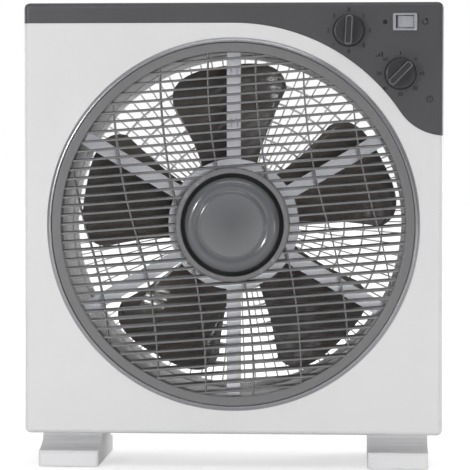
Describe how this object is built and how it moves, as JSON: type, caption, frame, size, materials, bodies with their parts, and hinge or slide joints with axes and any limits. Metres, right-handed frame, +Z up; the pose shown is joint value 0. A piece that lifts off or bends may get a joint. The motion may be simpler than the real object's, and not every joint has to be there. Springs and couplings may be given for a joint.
{
  "type": "box fan",
  "caption": "Square white box fan on two feet, with a turning louvre grille, a smoked impeller, a grey control panel, two knobs and a rocker switch.",
  "frame": {"origin": "on the floor, under the middle of the fan's bounding box", "axes": "+Z up, the front with the louvre faces -Y, +X to the right seen from the front"},
  "size_m": [0.36, 0.13, 0.4],
  "materials": {
    "body_white": "satin moulded",
    "rear_white": "fine texture",
    "panel_grey": "satin moulded",
    "trim_silver": "silver painted",
    "louvre_grey": "satin moulded",
    "cap_grey": "semi-gloss",
    "spider_white": "satin moulded",
    "grille_white": "satin moulded",
    "blade_smoke": "glossy smoked",
    "knob_grey": "satin moulded",
    "switch_silver": "semi-gloss",
    "foot_white": "satin moulded",
    "pad_rubber": "matt",
    "screw_steel": "zinc plated",
    "motor_aluminium": "die cast",
    "core_steel": "laminated",
    "copper_wire": "enamelled",
    "bush_bronze": "sintered",
    "gear_can": "plated can",
    "electric_cream": "moulded",
    "gland_black": "moulded"
  },
  "bodies": {
    "body": {"front_housing": "body_white", "rear_housing": "rear_white", "control_panel": "panel_grey", "trim_ring": "trim_silver", "front_spider": "spider_white", "louvre_motor": "gear_can", "louvre_motor_cover": "spider_white", "louvre_motor_screws": "screw_steel", "spider_screws": "screw_steel", "rear_grille": "grille_white", "grille_screws": "screw_steel", "motor_front_shield": "motor_aluminium", "motor_rear_shield": "motor_aluminium", "stator_core": "core_steel", "stator_windings": "copper_wire", "front_bearing": "bush_bronze", "rear_bearing": "bush_bronze", "motor_tie_screws": "screw_steel", "motor_mount_screws": "screw_steel", "run_capacitor": "electric_cream", "terminal_block": "electric_cream", "speed_switch": "electric_cream", "timer_unit": "electric_cream", "louvre_switch": "switch_silver", "switch_nuts": "screw_steel", "foot_left": "foot_white", "foot_right": "foot_white", "foot_pads": "pad_rubber", "foot_screws": "screw_steel", "housing_screws": "screw_steel", "cord_gland": "gland_black"},
    "louvre": {"louvre_grille": "louvre_grey", "louvre_drive_hub": "louvre_grey", "louvre_shaft": "screw_steel", "louvre_screw": "screw_steel", "louvre_hub_screws": "screw_steel", "hub_cap": "cap_grey"},
    "impeller": {"impeller": "blade_smoke", "spinner_nut": "blade_smoke", "drive_pin": "screw_steel", "motor_shaft": "screw_steel", "rotor_core": "core_steel"},
    "speed_knob": {"speed_knob": "knob_grey", "speed_shaft": "screw_steel"},
    "timer_knob": {"timer_knob": "knob_grey", "timer_shaft": "screw_steel"},
    "louvre_rocker": {"louvre_rocker": "switch_silver"}
  },
  "joints": [
    {"name": "louvre_spin", "type": "hinge", "parent": "body", "child": "louvre", "pos_m": [0, -0.039, 0.2097], "axis": [0, 1, 0], "continuous": true},
    {"name": "impeller_spin", "type": "hinge", "parent": "body", "child": "impeller", "pos_m": [0, 0.031, 0.2097], "axis": [0, 1, 0], "continuous": true},
    {"name": "speed_select", "type": "hinge", "parent": "body", "child": "speed_knob", "pos_m": [0.0992, -0.049, 0.3755], "axis": [0, 1, 0], "continuous": true},
    {"name": "timer_set", "type": "hinge", "parent": "body", "child": "timer_knob", "pos_m": [0.1432, -0.049, 0.3387], "axis": [0, 1, 0], "range_deg": [-45, 270]},
    {"name": "louvre_switch_rock", "type": "hinge", "parent": "body", "child": "louvre_rocker", "pos_m": [0.147, -0.0465, 0.3829], "axis": [0, 0, 1], "range_deg": [-20, 0]}
  ]
}
